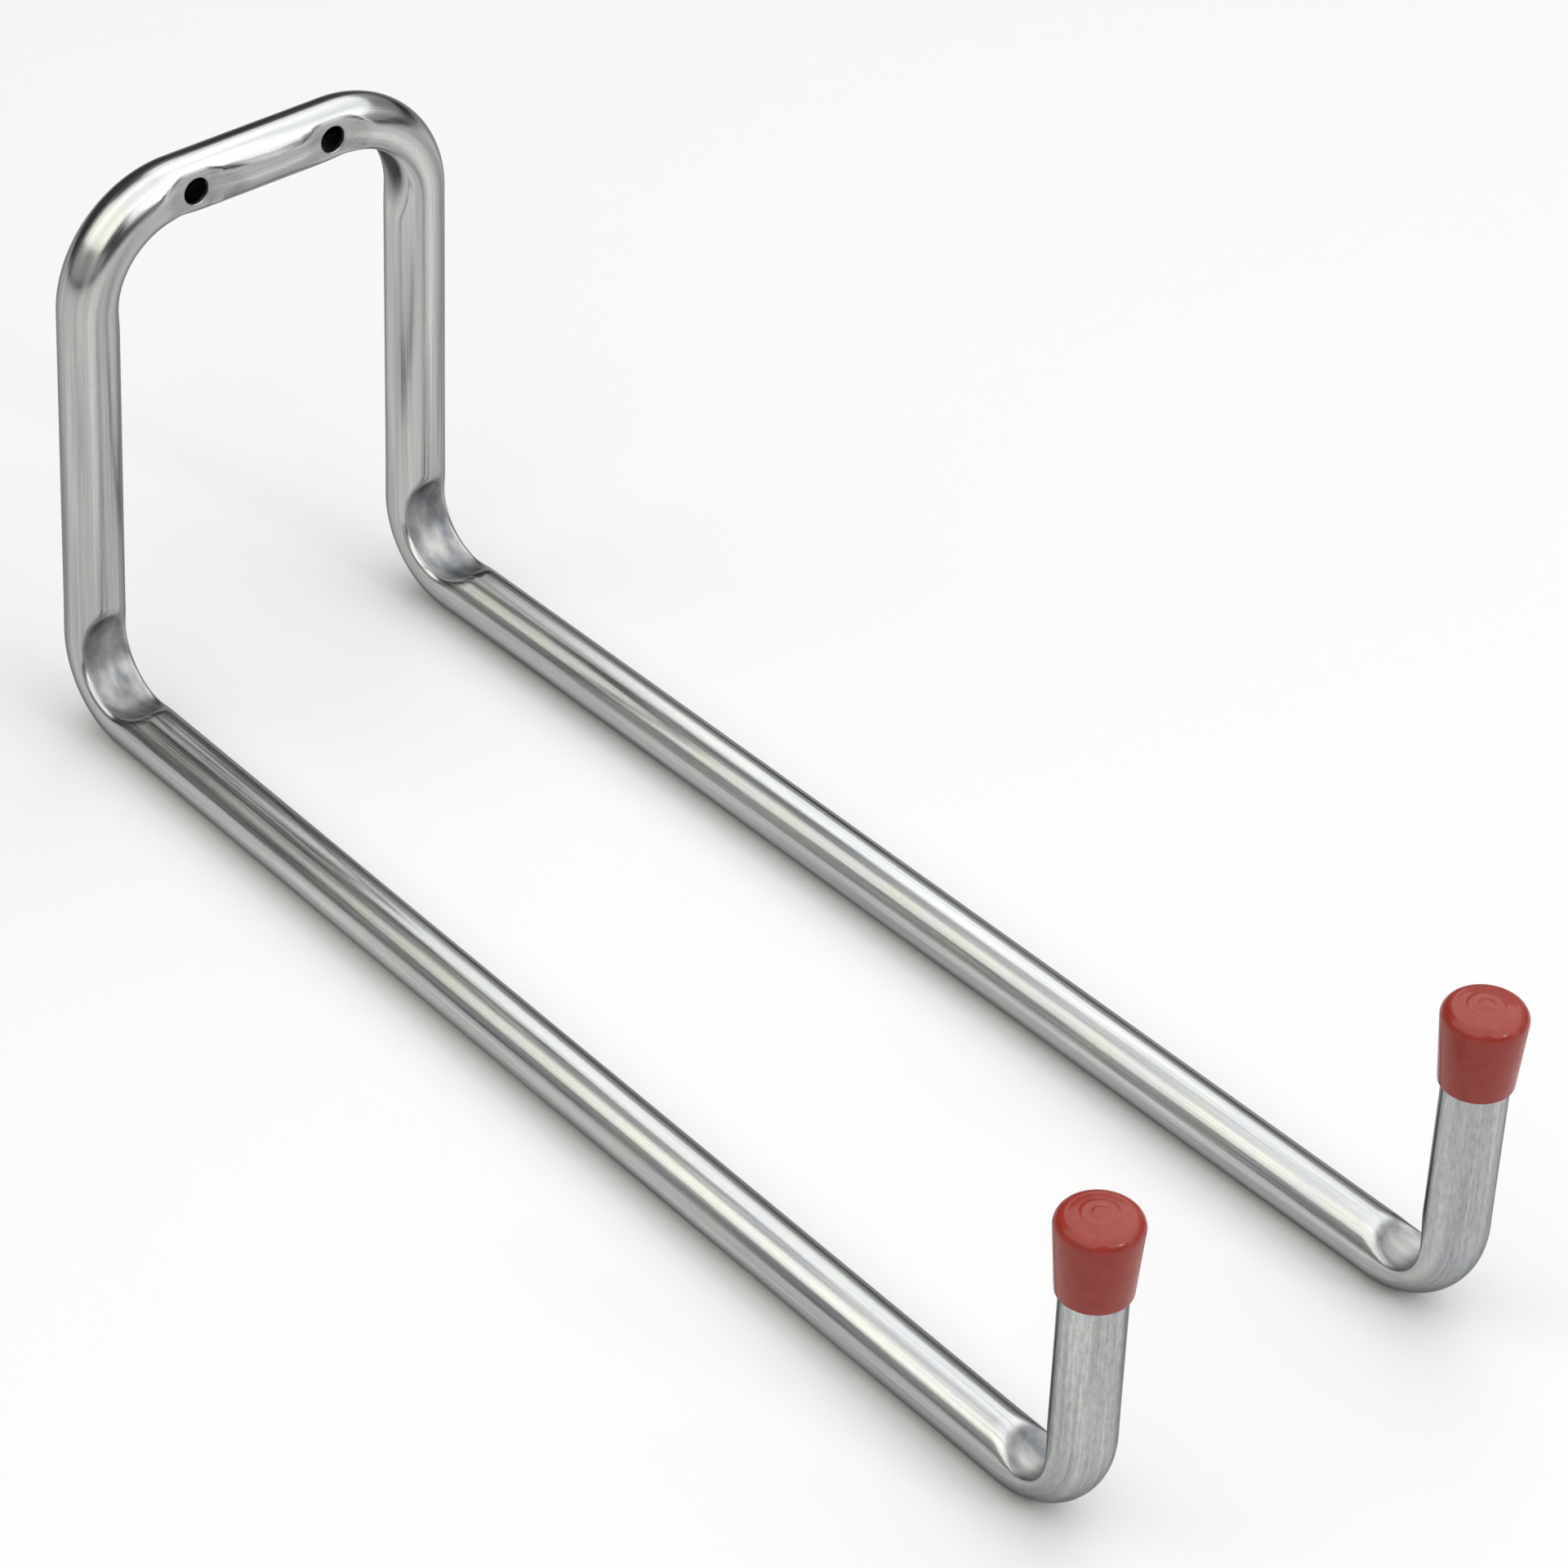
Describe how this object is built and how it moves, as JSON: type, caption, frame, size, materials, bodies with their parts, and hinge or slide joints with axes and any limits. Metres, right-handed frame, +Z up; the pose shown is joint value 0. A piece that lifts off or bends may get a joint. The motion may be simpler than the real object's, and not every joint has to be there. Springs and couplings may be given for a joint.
{
  "type": "tubular wall hook",
  "caption": "Wall storage hook bent from one steel tube: a screw-fixed crossbar, legs, long parallel arms and upturned tips closed by push-on plastic caps.",
  "frame": {"origin": "on the wall, behind the middle of the crossbar and level with its axis", "axes": "+Z up, +Y into the wall, so the arms reach out along -Y, +X to the right of someone facing the wall"},
  "size_m": [0.1046, 0.3058, 0.119],
  "materials": {
    "zinc_plated_steel": "bright zinc plate over drawn tube, with fine lengthwise drawing lines",
    "red_plastic": "moulded soft PVC, satin"
  },
  "bodies": {
    "root": {"bent_tube": "zinc_plated_steel", "end_cap_left": "red_plastic", "end_cap_right": "red_plastic"}
  },
  "joints": []
}
